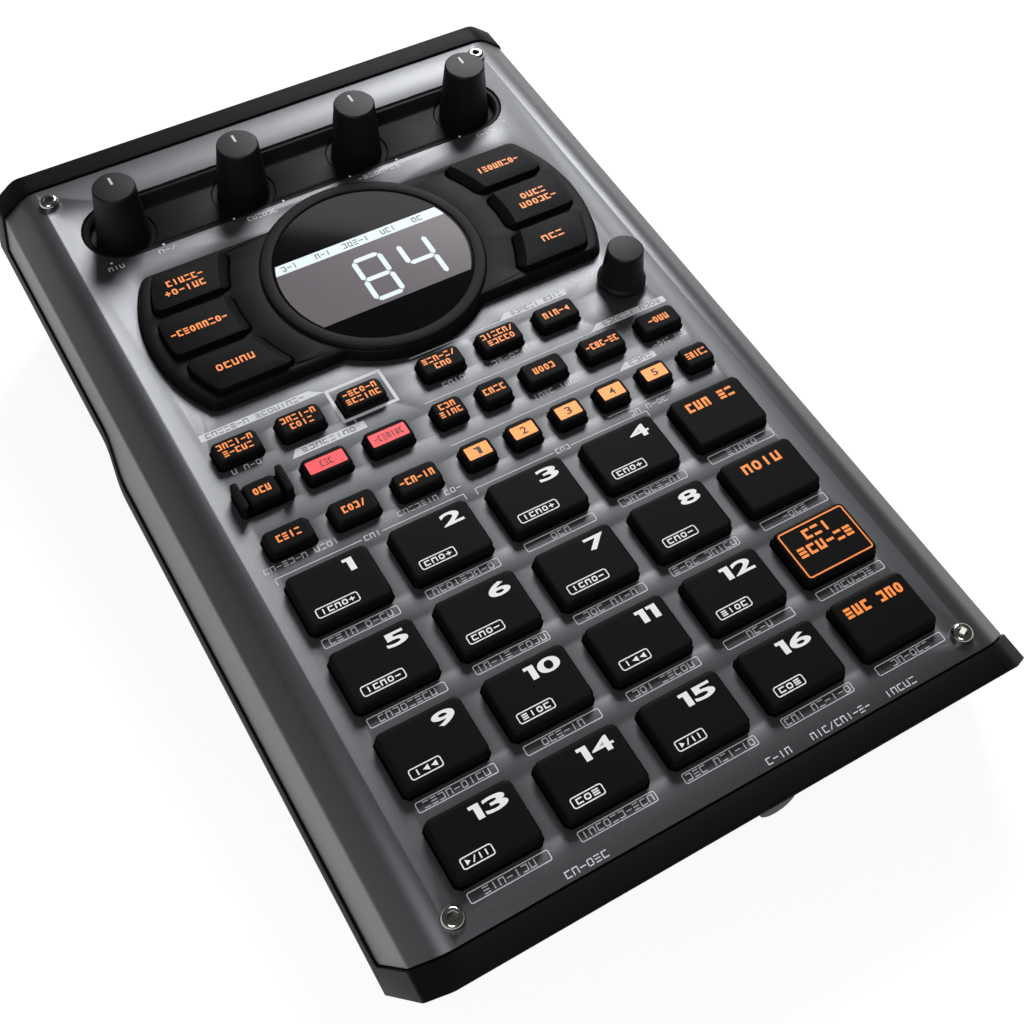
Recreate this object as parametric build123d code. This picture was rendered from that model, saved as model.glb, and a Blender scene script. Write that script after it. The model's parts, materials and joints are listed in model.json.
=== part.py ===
from build123d import *
import math
import os

# Drum machine. Lengths are in millimetres.
# Most pieces are drawn in the panel's own frame: X to the right, Y along the sloping panel from its
# front lip, Z square to the panel and 0 on the faceplate. The lower case, the jack boards and the
# feet are drawn level with the table. Everything is centred over the table at the end.

# ---------------------------------------------------------------- overall form
panel_tilt = 4.0
panel_height = 36.3
foot_height = 3.0
flat_half_width = 77.9
bevel_width = 7.3
side_flare = 3.0
crease_drop = 5.7
skirt_drop = 32.0
bevel_radius = 9.0
crease_radius = 1.5
front_lean = 0.5
rear_margin = 22.0
band_depth = 7.6
band_proud = 0.6
lip_radius = 0.8
raised_run = 89.0
step_run = 9.0
step_height = 9.5
step_radius = 8.0
strip_height = 4.4

# ---------------------------------------------------------------- walls and gaps
plate_thickness = 1.5
plate_gap = 0.6
plate_corner = 3.0
deck_gap = 0.2
deck_thickness = 2.4
front_wall = 2.8
rear_wall = 2.5
seam_gap = 0.2
tray_thickness = 2.2
tub_wall = 2.2
tub_half_width = 74.0
tub_taper = 24.0
key_clearance = 0.35
seat_gap = 0.25
slide_fit = 0.05
press_gap = 0.2

# ---------------------------------------------------------------- boards under the deck
flange_thickness = 1.0
flange_reach = 0.9
post_length = 1.0
key_travel = 1.0
mat_thickness = 0.6
board_thickness = 1.6
board_half_width = 78.0
board_front = 19.0
board_rear_inset = 19.3
boss_radius = 3.0
board_boss_x = 74.5

# ---------------------------------------------------------------- pads and small keys
pad_width = 22.8
pad_depth = 16.9
pad_height = 3.6
pad_corner = 2.0
pad_column_pitch = 28.63
pad_row_pitch = 24.13
pad_front_row = 27.5
pad_columns = 5
pad_rows = 4
key_pad_gap = 7.45
key_row_pitch = 15.85
key_depth = 7.6
key_height = 3.2
key_corner = 1.5
wide_key = 13.0
narrow_key = 9.2
delete_key_width = 9.8
left_column = -61.5
left_pitch = 18.3
edit_column = -0.5
edit_pitch = 18.6
bank_column = -6.6
bank_pitch = 14.0
mode_column = 23.2
mode_pitch = 18.95
guard_thickness = 1.9
guard_depth = 8.6
guard_height = 4.5
guard_gap = 0.4

# ---------------------------------------------------------------- effects bezel and display
ring_gap = 3.5
bezel_half_length = 68.6
bezel_corner_x = 61.0
bezel_half_depth = 26.2
bezel_corner = 4.0
bezel_height = 3.0
bezel_draft = 15.0
ring_outer = 32.95
ring_collar = 1.05
ring_skirt_inset = 1.95
ring_rim = 4.05
lens_ledge = 1.7
ring_top = 3.9
ring_skirt_bottom = -0.5
lens_thickness = 1.4
lens_drop = 0.5
well_margin = 4.4
well_ring_gap = 7.3
well_corner = 2.4
well_middle = 7.4
well_inner_row = 9.8
well_outer_row = 23.8
effects_key_top = 4.8
effects_bevel_width = 2.6
effects_bevel_drop = 1.6
display_width = 51.0
display_depth = 33.0
display_thickness = 2.2
display_drop = 0.3
carrier_inset = 2.0

# ---------------------------------------------------------------- knobs
pot_count = 4
pot_pitch = 38.2
knob_top_radius = 6.2
knob_base_radius = 7.9
knob_top = 17.0
knob_edge = 0.4
knob_crown = 4.0
shaft_radius = 3.0
pot_body = 11.5
pot_depth = 2.1
trough_half_width = 11.7
trough_lip = 0.5
trough_depth = 3.0
trough_slope = 4.0
trough_floor = 1.6
trough_flange = 2.2
bowl_radius = 9.6
bowl_depth = 0.4
value_knob_x = 61.1
value_knob_gap = 4.7
value_top_radius = 5.3
value_body_radius = 6.3
value_skirt_radius = 7.1
value_skirt_height = 1.6
value_knob_top = 14.3
value_crown = 3.0
value_knob_lift = 1.1
value_travel = 0.7
plunger_radius = 4.6
encoder_body = 12.4

# ---------------------------------------------------------------- panel screws
screw_x = 72.45
screw_front = 14.2
screw_rear_inset = 14.5
screw_head_radius = 2.95
screw_head_height = 2.0
screw_rim_height = 0.9
screw_crown_radius = 1.9
screw_shank_radius = 1.5
screw_length = 8.0
screw_socket_radius = 1.25
screw_hole_clearance = 0.3

# ---------------------------------------------------------------- jack boards, level with the table
front_axis_height = 19.5
rear_axis_height = 26.0
jack_width = 15.0
jack_length = 26.5
jack_below_axis = 6.5
jack_above_axis = 6.3
jack_bore_radius = 3.25
jack_bore_depth = 28.0
jack_nose_radius = 5.3
bushing_radius = 4.5
nut_radius = 6.6
nut_thickness = 1.5
wall_clearance = 0.3
mini_width = 8.0
mini_length = 13.0
mini_above_axis = 4.0
mini_nose_radius = 3.0
mini_bore_radius = 1.8
mini_bore_depth = 14.0
nose_setback = 1.5
front_jacks = [-47.0, 49.8]
front_mini_x = -32.5
card_slot_x = -11.0
card_width = 26.0
card_height = 3.0
card_slot_width = 24.4
card_slot_height = 2.3
gain_knob_x = 13.0
gain_knob_radius = 5.5
gain_knob_proud = 3.4
gain_knob_length = 9.5
switch_x = 31.4
switch_travel = 1.25
switch_lever_width = 2.4
switch_lever_height = 2.6
switch_proud = 1.0
front_board_half_width = 60.0
front_board_depth = 34.0
rear_jacks = [-62.0, -44.0, -22.0, -4.0]
rear_minis = [12.0, 24.0]
usb_x = 37.0
usb_width = 8.9
usb_height = 3.2
usb_length = 7.4
usb_wall = 0.35
usb_axis_lift = 1.7
usb_tongue_setback = 1.0
power_x = 52.0
power_travel = 4.0
power_lever_width = 4.0
power_lever_height = 3.6
power_proud = 1.2
dc_x = 67.0
dc_width = 9.0
dc_length = 13.0
dc_nose_radius = 4.2
dc_bore_radius = 2.75
dc_pin_radius = 1.0
dc_bore_depth = 8.8
rear_board_half_width = 73.0
rear_board_depth = 36.0
lever_plate_thickness = 1.3
board_post_radius = 3.0
board_post_inset = 5.0
board_post_setback = 8.0

# ---------------------------------------------------------------- battery bay and feet
bay_front = 108.0
bay_depth = 47.0
bay_half_width = 54.0
bay_height = 15.5
bay_wall = 1.6
cover_ledge = 2.0
cover_gap = 0.3
cover_thickness = 2.0
cover_hook = 1.4
cover_hook_width = 12.0
contact_width = 10.0
contact_height = 11.0
contact_thickness = 0.5
cell_pitch = 15.2
foot_radius = 8.0
foot_x = 60.0
foot_front = 36.0
foot_rear_inset = 29.3

# ---------------------------------------------------------------- what follows from those sizes
tilt = math.radians(panel_tilt)
end_margin = 20.0
crease_half_width = flat_half_width + bevel_width
skirt_half_width = crease_half_width + side_flare
pad_rear_row = pad_front_row + (pad_rows - 1) * pad_row_pitch
front_row = pad_rear_row + pad_depth / 2 + key_pad_gap + key_depth / 2
middle_row = front_row + key_row_pitch
top_row = middle_row + key_row_pitch
ring_base_radius = ring_outer + ring_collar
ring_skirt = ring_outer - ring_skirt_inset
ring_inner = ring_outer - ring_rim
ring_ledge = ring_inner - lens_ledge
well_ring_radius = ring_base_radius + well_ring_gap
effects_row = top_row + key_depth / 2 + ring_gap + ring_base_radius
value_knob_row = effects_row - bezel_half_depth - value_knob_gap - value_skirt_radius
pot_row = effects_row + ring_base_radius + ring_gap + trough_half_width
pot_positions = [(number - (pot_count - 1) / 2) * pot_pitch for number in range(pot_count)]
panel_length = pot_row + trough_half_width + rear_margin
step_rear = panel_length - raised_run
step_front = step_rear - step_run
board_rear = panel_length - board_rear_inset
screw_rear = panel_length - screw_rear_inset
foot_rear = panel_length - foot_rear_inset
board_boss_rows = [
    pad_front_row + pad_row_pitch / 2,
    front_row - key_row_pitch / 2,
    effects_row - bezel_half_depth / 2,
    pot_row - trough_half_width - boss_radius,
]
deck_top = plate_thickness + deck_gap
deck_bottom = deck_top + deck_thickness
flange_top = -deck_bottom - seat_gap
flange_bottom = flange_top - flange_thickness
post_bottom = flange_bottom - post_length
mat_top = post_bottom - key_travel - press_gap
board_top = mat_top - mat_thickness
board_bottom = board_top - board_thickness
floor_top = foot_height + tub_wall
rear_face = panel_length * math.cos(tilt)
panel = Plane(origin=(0, 0, panel_height), x_dir=(1, 0, 0), z_dir=(0, -math.sin(tilt), math.cos(tilt)))
across = Plane(origin=(0, -end_margin, 0), x_dir=(-1, 0, 0), z_dir=(0, 1, 0))
pieces = {}


def section(outset):
    """The cross-section that the faceplate is bent to, grown by outset and left open-ended below."""
    flare = (skirt_half_width - crease_half_width) / (skirt_drop - crease_drop)
    depth = skirt_drop + panel_height
    foot_half_width = crease_half_width + flare * (depth - crease_drop)
    right = [(flat_half_width, 0), (crease_half_width, -crease_drop), (foot_half_width, -depth)]
    left = [(-x, z) for x, z in reversed(right)]
    outline = offset(make_face(Polyline(*right, *left, close=True)), outset, kind=Kind.INTERSECTION)
    creases = outline.vertices().sort_by(Axis.Y)[2:4]
    outline = fillet(creases, max(crease_radius + outset, press_gap))
    return fillet(outline.vertices().sort_by(Axis.Y)[-2:], bevel_radius + outset)


def sleeve(outset):
    """That cross-section run from end to end of the case."""
    return extrude(across * section(outset), panel_length + 2 * end_margin)


def front_at(z):
    """Where the leaning front face is, at height z on the panel's own axes."""
    return (band_proud - z) * front_lean


def rear_at(z):
    """Where the upright rear face is."""
    return panel_length + (z - band_proud) * math.tan(tilt)


def side_prism(front, rear, raised, top, front_corner=0.0, rear_corner=0.0, lip=0.0):
    """The case's side view, set back from its faces, with the S-shaped step in its lower edge."""
    low_front = raised - skirt_drop
    low_rear = low_front + step_height
    points = [
        (front_at(top) + front, top),
        (rear_at(top) - rear, top),
        (rear_at(low_rear) - rear, low_rear),
        (step_rear, low_rear),
        (step_front, low_front),
        (front_at(low_front) + front, low_front),
    ]
    radii = [lip, lip, rear_corner, step_radius, step_radius, front_corner]
    outline = make_face(FilletPolyline(*points, radius=radii, close=True))
    return extrude(Plane.YZ * outline, skirt_half_width + end_margin, both=True)


def prism(outline, bottom, top, taper=0.0):
    """A flat outline on the panel, raised from bottom to top."""
    return Pos(0, 0, bottom) * extrude(outline, top - bottom, taper=taper)


def box(x, y, width, depth, bottom, top):
    return prism(Pos(x, y) * Rectangle(width, depth), bottom, top)


def rounded(x, y, width, depth, corner):
    return Pos(x, y) * RectangleRounded(width, depth, corner)


def clipped(x, y, width, depth, corner):
    """A rectangle with its corners cut straight across, each touching a corner of that radius."""
    return Pos(x, y) * chamfer(Rectangle(width, depth).vertices(), (2 - math.sqrt(2)) * corner)


def turned(*points):
    """A solid of revolution from its half-section."""
    return revolve(Plane.XZ * make_face(Polyline(*points, close=True)), Axis.Z)


def level_box(x, y, z, width, depth, height):
    """A block on the level axes, from its middle in X and its lowest Y and Z."""
    return Pos(x, y + depth / 2, z + height / 2) * Box(width, depth, height)


def level_rod(x, z, radius, start, end):
    """A round bar along Y."""
    middle = (start + end) / 2
    return Pos(x, middle, z) * Rot(90, 0, 0) * Cylinder(radius, end - start)


def place(shape):
    """From the panel's axes to the level ones."""
    return panel.location * shape


def group(shapes):
    """Several solids kept as one piece."""
    return Compound([solid for shape in shapes for solid in shape.solids()])


# ---------------------------------------------------------------- effects outlines
def bowed(inset):
    """The bezel's outline between two bowed ends, narrower by inset at each end."""
    corner = bezel_corner_x - inset
    reach = bezel_half_length - inset
    half = bezel_half_depth
    edges = [
        Line((-corner, -half), (corner, -half)),
        ThreePointArc((corner, -half), (reach, 0), (corner, half)),
        Line((corner, half), (-corner, half)),
        ThreePointArc((-corner, half), (-reach, 0), (-corner, -half)),
    ]
    return make_face(edges)


def effects_zone(side, low, high, shrink):
    """One effects key's outline, between the display ring and the bezel's bowed end."""
    reach = bezel_half_length
    band = Pos(side * reach / 2, (low + high) / 2) * Rectangle(reach, high - low - 2 * shrink)
    zone = (bowed(well_margin + shrink) & band) - Circle(well_ring_radius + shrink)
    return Pos(0, effects_row) * fillet(zone.vertices(), well_corner)


effects_bands = [
    (well_inner_row, well_outer_row),
    (-well_middle, well_middle),
    (-well_outer_row, -well_inner_row),
]
effects_slots = [(side, low, high) for side in (-1, 1) for low, high in effects_bands]
bezel_plan = fillet(bowed(0).vertices(), bezel_corner)
bezel_whole = bezel_plan + Circle(ring_base_radius)

# ---------------------------------------------------------------- where the pads and keys are
def key_run(first, pitch, count, row, width):
    """A run of equal keys along one row."""
    return [(first + number * pitch, row, width) for number in range(count)]


record_column = left_column + left_pitch
resample_column = record_column + left_pitch
shift_column = bank_column + 5 * bank_pitch
mode_run = key_run(bank_column, bank_pitch, 2, middle_row, narrow_key)
mode_run += key_run(mode_column, mode_pitch, 3, middle_row, wide_key)
small_keys = {
    "sequencer_keys": key_run(left_column, left_pitch, 3, top_row, wide_key),
    "edit_keys": key_run(edit_column, edit_pitch, 3, top_row, wide_key),
    "delete_key": [(left_column, middle_row, delete_key_width)],
    "record_key": [(record_column, middle_row, wide_key)],
    "resample_key": [(resample_column, middle_row, wide_key)],
    "mode_keys": mode_run,
    "utility_keys": key_run(left_column, left_pitch, 3, front_row, wide_key),
    "bank_keys": key_run(bank_column, bank_pitch, 5, front_row, narrow_key),
    "shift_key": [(shift_column, front_row, narrow_key)],
}

pads = {}
for row in range(pad_rows):
    for column in range(pad_columns):
        x = (column - (pad_columns - 1) / 2) * pad_column_pitch
        y = pad_rear_row - row * pad_row_pitch
        if column < pad_columns - 1:
            pads[f"pad_{row * (pad_columns - 1) + column + 1:02d}"] = (x, y)
        else:
            pads[f"function_pad_{row + 1}"] = (x, y)

# ---------------------------------------------------------------- openings shared by plate and deck
caps = [(x, y, pad_width, pad_depth, pad_corner) for x, y in pads.values()]
for name, keys in small_keys.items():
    caps += [(x, y, width, key_depth, key_corner) for x, y, width in keys if name != "delete_key"]

delete_x, delete_y, delete_width = small_keys["delete_key"][0]
guard_x = (delete_width + guard_thickness) / 2 + guard_gap
guard_span = delete_width + 2 * (guard_gap + guard_thickness)
around = 2 * key_clearance
plate_holes = [
    clipped(x, y, width + around, depth + around, corner + key_clearance)
    for x, y, width, depth, corner in caps
]
plate_holes.append(clipped(delete_x, delete_y, guard_span + around, guard_depth + around, key_corner))
plate_holes.append(Pos(value_knob_x, value_knob_row) * Circle(shaft_radius + key_clearance))
plate_holes.append(Pos(0, effects_row) * offset(bezel_whole, plate_gap / 2))
pot_span = pot_positions[-1] - pot_positions[0]
trough_plan = Pos(0, pot_row) * SlotCenterToCenter(pot_span, 2 * trough_half_width)
plate_holes.append(offset(trough_plan, plate_gap / 2))
screws = [(x, y) for x in (-screw_x, screw_x) for y in (screw_front, screw_rear)]
plate_holes += [Pos(x, y) * Circle(screw_shank_radius + screw_hole_clearance) for x, y in screws]

deck_holes = [Pos(x, y) * Rectangle(w + around, d + around) for x, y, w, d, corner in caps]
deck_holes.append(Pos(delete_x, delete_y) * Rectangle(delete_width + 2 * guard_gap, key_depth + around))
deck_holes.append(Pos(value_knob_x, value_knob_row) * Circle(plunger_radius + key_clearance))
deck_holes += [effects_zone(side, low, high, 0) for side, low, high in effects_slots]
deck_holes.append(Pos(0, effects_row) * Rectangle(display_width + around, display_depth + around))
deck_holes.append(offset(trough_plan, plate_gap / 2))
deck_holes += [Pos(x, y) * Circle(screw_shank_radius + slide_fit) for x, y in screws]

# ---------------------------------------------------------------- faceplate
# Bent sheet: the flat top, a bevel, a tight crease and a side that flares out to the seam.
sheet = sleeve(0) - sleeve(-plate_thickness)
plate_edge = band_depth + plate_gap
plate_low = strip_height + plate_gap
sheet = sheet & side_prism(plate_edge, plate_edge, plate_low, end_margin, plate_corner, plate_gap)
sheet = sheet - prism(Sketch() + plate_holes, -deck_top, band_proud)
pieces["faceplate"] = place(sheet)

# ---------------------------------------------------------------- upper case
# Bands at both ends and a strip along each side stand proud round the faceplate. The deck and side
# walls behind it carry the key wells, the board bosses and the guards of the delete key.
shell = sleeve(band_proud) & side_prism(0, 0, 0, band_proud, lip=lip_radius)
recess = sleeve(end_margin) - sleeve(-deck_top)
recess = recess & side_prism(band_depth, band_depth, strip_height, end_margin, plate_corner)
shell = shell - recess
shell = shell - (sleeve(-deck_bottom) & side_prism(front_wall, rear_wall, -panel_height, end_margin))
bosses = []
for x in (-board_boss_x, board_boss_x):
    for y in board_boss_rows:
        bosses.append(prism(Pos(x, y) * Circle(boss_radius), board_top, -deck_bottom))
for x, y in screws:
    bosses.append(prism(Pos(x, y) * Circle(boss_radius), -deck_bottom - screw_length / 2, -deck_bottom))
for side in (-1, 1):
    guard = rounded(delete_x + side * guard_x, delete_y, guard_thickness, guard_depth, guard_thickness / 3)
    bosses.append(prism(guard, -deck_top, guard_height))
shell = shell + bosses
shell = shell - prism(Sketch() + deck_holes, -deck_bottom - screw_length, 0)
shell = place(shell)

# The sockets of the front board are reached through the leaning front wall.
front_board_start = front_at(-skirt_drop) + front_wall
front_board_top = front_axis_height - jack_below_axis
card_middle = front_board_top + card_height / 2


def through_front(x, radius):
    """A round way in through the front wall."""
    return level_rod(x, front_axis_height, radius, -end_margin, front_board_start)


for x in front_jacks:
    shell = shell - through_front(x, jack_nose_radius + wall_clearance)
shell = shell - through_front(front_mini_x, mini_nose_radius + wall_clearance)
shell = shell - through_front(gain_knob_x, gain_knob_radius + key_clearance)
card_low = card_middle - card_slot_height / 2
shell = shell - level_box(
    card_slot_x, -end_margin, card_low - wall_clearance,
    card_slot_width + 2 * wall_clearance, end_margin + front_board_start,
    card_slot_height + 2 * wall_clearance,
)
switch_slot_width = switch_lever_width + 2 * (switch_travel + key_clearance)
switch_slot_height = switch_lever_height + 2 * key_clearance
shell = shell - level_box(
    switch_x, -end_margin, front_axis_height - switch_slot_height / 2,
    switch_slot_width, end_margin + front_board_start, switch_slot_height,
)
pieces["upper_case"] = shell

# ---------------------------------------------------------------- bottom case
# A level tub with tapered sides under the sloping upper case, with a flange inside the strips.
def tub(inset, bottom):
    """The tub's tapered cross-section run along the case."""
    top = panel_height + step_height
    half_low = tub_half_width - inset + (bottom - foot_height) * math.tan(math.radians(tub_taper))
    half_top = half_low + (top - bottom) * math.tan(math.radians(tub_taper))
    points = [(-half_low, bottom), (half_low, bottom), (half_top, top), (-half_top, top)]
    return extrude(across * make_face(Polyline(*points, close=True)), panel_length + 2 * end_margin)


inner_edge = deck_bottom + wall_clearance
flange = sleeve(-inner_edge) & side_prism(front_wall + seam_gap, rear_wall + seam_gap, -seam_gap, 0)
flange = flange - side_prism(0, 0, tray_thickness, band_proud)
lower = tub(0, foot_height) & place(side_prism(0, 0, -panel_height, band_proud))
lower = lower - place(side_prism(-end_margin, -end_margin, -seam_gap, end_margin)) + place(flange)
inside = tub(tub_wall, floor_top) & place(side_prism(front_wall, rear_wall, -panel_height, band_proud))
lower = lower - inside

# The battery bay is a box standing on the floor, open underneath and ledged for its cover.
bay_bottom = foot_height + cover_thickness
cover_half_width = bay_half_width + cover_ledge
cover_front = bay_front - cover_ledge
cover_depth = bay_depth + 2 * cover_ledge
lower = lower + level_box(
    0, cover_front - bay_wall, foot_height,
    2 * (cover_half_width + bay_wall), cover_depth + 2 * bay_wall, cover_thickness + bay_height + bay_wall,
)
lower = lower - level_box(0, bay_front, bay_bottom, 2 * bay_half_width, bay_depth, bay_height)
lower = lower - level_box(
    0, cover_front - cover_gap, foot_height,
    2 * (cover_half_width + cover_gap), cover_depth + 2 * cover_gap, cover_thickness,
)
hook_positions = [-bay_half_width / 2, bay_half_width / 2]
hook_height = cover_thickness + cover_gap
for x in hook_positions:
    lower = lower - level_box(
        x, cover_front - cover_hook - 2 * cover_gap, bay_bottom,
        cover_hook_width + 2 * cover_gap, cover_ledge + cover_hook + 2 * cover_gap, hook_height,
    )

# Posts carry the two jack boards.
front_board_bottom = front_board_top - board_thickness
rear_board_top = rear_axis_height - jack_below_axis
rear_board_bottom = rear_board_top - board_thickness
inner_rear = rear_face - rear_wall
rear_board_start = inner_rear - wall_clearance - rear_board_depth


def post(x, y, top):
    """A round post from the floor to the underside of a board."""
    return Pos(x, y, foot_height) * extrude(Circle(board_post_radius), top - foot_height)


for side in (-1, 1):
    x = side * (front_board_half_width - board_post_inset)
    lower = lower + post(x, front_board_start + board_post_setback, front_board_bottom)
    lower = lower + post(x, front_board_start + front_board_depth - board_post_inset, front_board_bottom)
    x = side * (rear_board_half_width - board_post_setback)
    lower = lower + post(x, rear_board_start + board_post_inset, rear_board_bottom)
    lower = lower + post(x, rear_board_start + rear_board_depth - board_post_inset, rear_board_bottom)

# Rear wall openings.
wall_start = inner_rear - wall_clearance
wall_end = rear_face + end_margin
for x in rear_jacks:
    lower = lower - level_rod(x, rear_axis_height, bushing_radius + wall_clearance, wall_start, wall_end)
for x in rear_minis:
    lower = lower - level_rod(x, rear_axis_height, mini_nose_radius + wall_clearance, wall_start, wall_end)
lower = lower - level_rod(dc_x, rear_axis_height, dc_nose_radius + wall_clearance, wall_start, wall_end)
usb_axis = rear_board_top + usb_axis_lift
usb_slot = Plane.XZ * RectangleRounded(
    usb_width + 2 * wall_clearance, usb_height + 2 * wall_clearance, usb_height / 2
)
lower = lower - Pos(usb_x, wall_end, usb_axis) * extrude(usb_slot, wall_end - wall_start)
power_slot_width = power_lever_width + power_travel + 2 * key_clearance
power_slot_height = power_lever_height + 2 * key_clearance
power_middle = power_x + power_travel / 2
lower = lower - level_box(
    power_middle, wall_start, rear_axis_height - power_slot_height / 2,
    power_slot_width, wall_end - wall_start, power_slot_height,
)
pieces["bottom_case"] = lower

# ---------------------------------------------------------------- pads and keys
def key(x, y, width, depth, height, corner):
    """A key with a rounded cap, a flange under the deck and a post over its switch."""
    cap = prism(rounded(x, y, width, depth, corner), flange_top, height)
    reach = 2 * (flange_reach + key_clearance)
    skirt = box(x, y, width + reach, depth + reach, flange_bottom, flange_top)
    return cap + skirt + box(x, y, width / 2, depth / 2, post_bottom, flange_bottom)


for name, (x, y) in pads.items():
    pieces[name] = place(key(x, y, pad_width, pad_depth, pad_height, pad_corner))
for name, keys in small_keys.items():
    solids = [place(key(x, y, width, key_depth, key_height, key_corner)) for x, y, width in keys]
    pieces[name] = group(solids)

# ---------------------------------------------------------------- effects bezel, keys and display
bezel = prism(bezel_whole, -deck_top, 0)
bezel = bezel + prism(bezel_plan, 0, bezel_height, bezel_draft)
narrowing = bezel_height * math.tan(math.radians(bezel_draft))
bezel = bezel + turned(
    (0, 0), (ring_base_radius, 0), (ring_base_radius - narrowing, bezel_height), (0, bezel_height)
)
bezel = Pos(0, effects_row) * bezel
ring_hole = Pos(0, effects_row) * Circle(ring_skirt + wall_clearance)
bezel = bezel - prism(ring_hole, -deck_top, bezel_height)
wells = [effects_zone(side, low, high, 0) for side, low, high in effects_slots]
pieces["fx_bezel"] = place(bezel - prism(Sketch() + wells, -deck_top, bezel_height))

bevel_inner = well_ring_radius + key_clearance
bevel_cone = turned(
    (0, effects_key_top - effects_bevel_drop),
    (bevel_inner, effects_key_top - effects_bevel_drop),
    (bevel_inner + effects_bevel_width, effects_key_top),
    (0, effects_key_top),
)
for number, (side, low, high) in enumerate(effects_slots, 1):
    cap = prism(effects_zone(side, low, high, key_clearance), flange_top, effects_key_top)
    cap = cap - Pos(0, effects_row) * bevel_cone
    skirt = prism(effects_zone(side, low, high, -flange_reach), flange_bottom, flange_top)
    middle_x = side * (well_ring_radius + bezel_half_length) / 2
    stem = box(middle_x, effects_row + (low + high) / 2, key_depth, key_depth, post_bottom, flange_bottom)
    pieces[f"fx_key_{number}"] = place(cap + skirt + stem)

lens_top = ring_top - lens_drop
lens_seat = lens_top - lens_thickness
ring = turned(
    (ring_ledge, ring_skirt_bottom),
    (ring_skirt, ring_skirt_bottom),
    (ring_skirt, bezel_height),
    (ring_outer, bezel_height),
    (ring_outer - lens_drop, ring_top),
    (ring_inner, ring_top),
    (ring_inner, lens_seat),
    (ring_ledge, lens_seat),
)
pieces["display_ring"] = place(Pos(0, effects_row) * ring)
lens = Pos(0, effects_row, lens_seat) * extrude(Circle(ring_inner - slide_fit), lens_thickness)
pieces["display_lens"] = place(lens)
glass_top = ring_skirt_bottom - display_drop
glass_bottom = glass_top - display_thickness
glass = box(0, effects_row, display_width, display_depth, glass_bottom, glass_top)
carrier_width = display_width - 2 * carrier_inset
carrier_depth = display_depth - 2 * carrier_inset
carrier = box(0, effects_row, carrier_width, carrier_depth, board_top, glass_bottom)
pieces["display_module"] = group([place(glass), place(carrier)])

# ---------------------------------------------------------------- knob trough
# The moulding rises through the plate from a flange under the deck. Its floor is sunken, with a round
# bowl at each knob.
slot_width = 2 * trough_half_width
trough = prism(trough_plan, -deck_bottom, -trough_lip)
trough = trough + prism(offset(trough_plan, trough_flange), -deck_bottom - trough_floor, -deck_bottom)
mouth_width = slot_width - 2 * trough_lip
slope_angle = math.degrees(math.atan(trough_slope / trough_depth))
hollow = extrude(SlotCenterToCenter(pot_span, mouth_width), -trough_depth, taper=slope_angle)
trough = trough - Pos(0, pot_row, 0) * hollow
for x in pot_positions:
    trough = trough - prism(Pos(x, pot_row) * Circle(bowl_radius), -trough_depth - bowl_depth, 0)
    shaft_hole = Pos(x, pot_row) * Circle(shaft_radius + key_clearance)
    trough = trough - prism(shaft_hole, -deck_bottom - trough_floor, 0)
pieces["knob_trough"] = place(trough)

# ---------------------------------------------------------------- control knobs
knob_bottom = -trough_depth - bowl_depth + wall_clearance
shaft_bottom = board_top + press_gap
knob_socket = knob_top - knob_crown
cap = turned(
    (0, knob_top),
    (knob_top_radius - knob_edge, knob_top),
    (knob_top_radius, knob_top - knob_edge),
    (knob_base_radius, knob_bottom),
    (shaft_radius, knob_bottom),
    (shaft_radius, knob_socket),
    (0, knob_socket),
)
shaft = Pos(0, 0, shaft_bottom) * extrude(Circle(shaft_radius), knob_socket - shaft_bottom)
for number, x in enumerate(pot_positions, 1):
    spot = Pos(x, pot_row)
    pieces[f"control_knob_{number}"] = group([place(spot * cap), place(spot * shaft)])

# ---------------------------------------------------------------- value knob on its push plunger
spot = Pos(value_knob_x, value_knob_row)
value_socket = value_knob_top - value_crown
value_cap = turned(
    (0, value_knob_top),
    (value_top_radius - knob_edge, value_knob_top),
    (value_top_radius, value_knob_top - knob_edge),
    (value_body_radius, value_knob_lift + value_skirt_height),
    (value_skirt_radius, value_knob_lift + value_skirt_height - knob_edge),
    (value_skirt_radius, value_knob_lift),
    (shaft_radius, value_knob_lift),
    (shaft_radius, value_socket),
    (0, value_socket),
)
plunger_bottom = board_top + value_travel + press_gap
plunger_top = plunger_bottom + pot_depth
value_shaft = Pos(0, 0, plunger_bottom) * extrude(Circle(shaft_radius), value_socket - plunger_bottom)
pieces["value_knob"] = group([place(spot * value_cap), place(spot * value_shaft)])
plunger = turned(
    (shaft_radius + slide_fit, plunger_bottom),
    (plunger_radius, plunger_bottom),
    (plunger_radius, plunger_top),
    (shaft_radius + slide_fit, plunger_top),
)
pieces["encoder_plunger"] = place(spot * plunger)

# ---------------------------------------------------------------- main board and key mat
mat_half_width = board_boss_x - boss_radius - press_gap
mat_rear = effects_row + bezel_half_depth
mat_middle = effects_row - bezel_half_depth - band_depth
mat_plan = Pos(0, (board_front + mat_middle) / 2) * Rectangle(2 * mat_half_width, mat_middle - board_front)
for side in (-1, 1):
    wing_x = side * (mat_half_width + ring_base_radius) / 2
    wing = Rectangle(mat_half_width - ring_base_radius, mat_rear - mat_middle)
    mat_plan = mat_plan + Pos(wing_x, (mat_rear + mat_middle) / 2) * wing
mat_plan = mat_plan - spot * Rectangle(encoder_body + around, encoder_body + around)
pieces["key_mat"] = place(prism(mat_plan, board_top, mat_top))

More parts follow.
